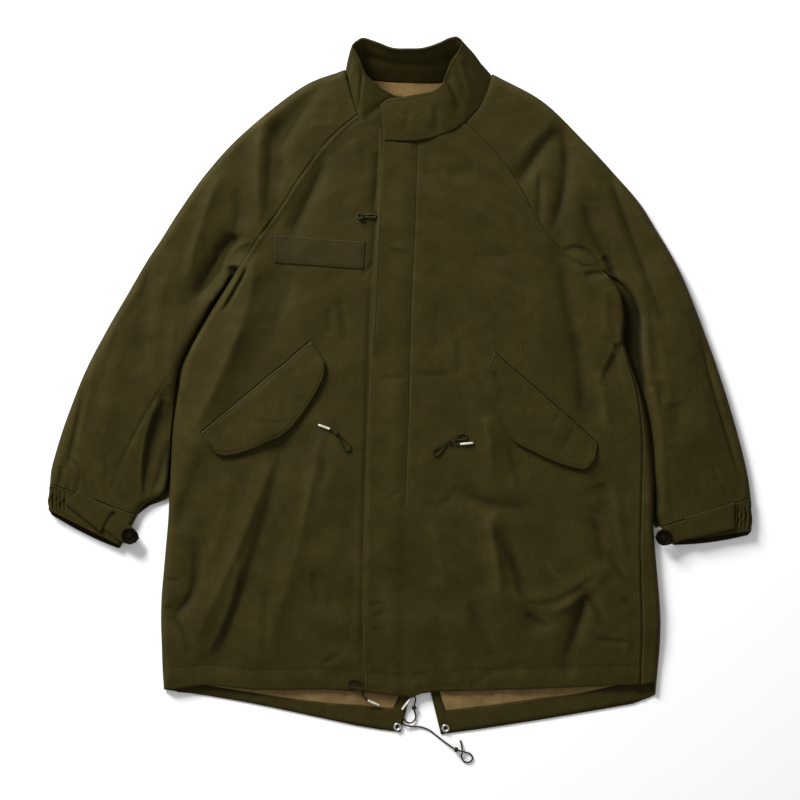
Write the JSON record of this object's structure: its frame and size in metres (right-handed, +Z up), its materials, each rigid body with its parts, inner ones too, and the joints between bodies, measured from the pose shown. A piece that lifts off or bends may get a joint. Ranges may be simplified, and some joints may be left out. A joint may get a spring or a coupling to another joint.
{
  "type": "fishtail parka",
  "caption": "Olive cotton fishtail parka with stand collar, raglan sleeves, slanted pocket flaps, button cuff tabs and drawcords, closed and laid flat on its back.",
  "frame": {"origin": "under the middle of the laid garment's box, loose cords left out, on the surface it lies on", "axes": "+X to the wearer's left, +Y from the tails to the collar, +Z up from the surface"},
  "size_m": [0.982, 1.0086, 0.0437],
  "materials": {
    "shell": "dull olive cotton sateen",
    "tape": "olive herringbone tape",
    "lining": "plain beige cotton",
    "buttons": "near-black, low sheen",
    "snaps": "bright ring, dark middle",
    "drawcord": "olive braided cord",
    "cord_tips": "ivory"
  },
  "bodies": {
    "root": {"back": "shell", "front_right": "shell", "front_left": "shell", "storm_flap": "shell", "sleeve_front_right": "shell", "sleeve_front_left": "shell", "sleeve_back_right": "shell", "sleeve_back_left": "shell", "collar_outer": "shell", "collar_inner": "shell", "facing_right": "shell", "facing_left": "shell", "pocket_flap_right": "shell", "pocket_flap_left": "shell", "cuff_band_right": "shell", "cuff_band_left": "shell", "cuff_tab_right": "shell", "cuff_tab_left": "shell", "name_tape": "tape", "lining_neck": "lining", "lining_tail_right": "lining", "lining_tail_left": "lining", "cuff_button_right": "buttons", "cuff_button_left": "buttons", "tail_snap_right": "snaps", "tail_snap_left": "snaps", "waist_cord_right": "drawcord", "waist_cord_left": "drawcord", "waist_knot_right": "drawcord", "waist_knot_left": "drawcord", "hem_cord_right": "drawcord", "hem_knot_right": "drawcord", "tail_cord_tip": "drawcord", "tail_knot_tip": "drawcord", "tail_cord_long": "drawcord", "tail_knot_long": "drawcord", "chest_pull": "drawcord", "chest_knot": "drawcord", "waist_tip_right": "cord_tips", "waist_tip_left": "cord_tips", "hem_tip_right": "cord_tips", "tail_tip": "cord_tips"}
  },
  "joints": []
}
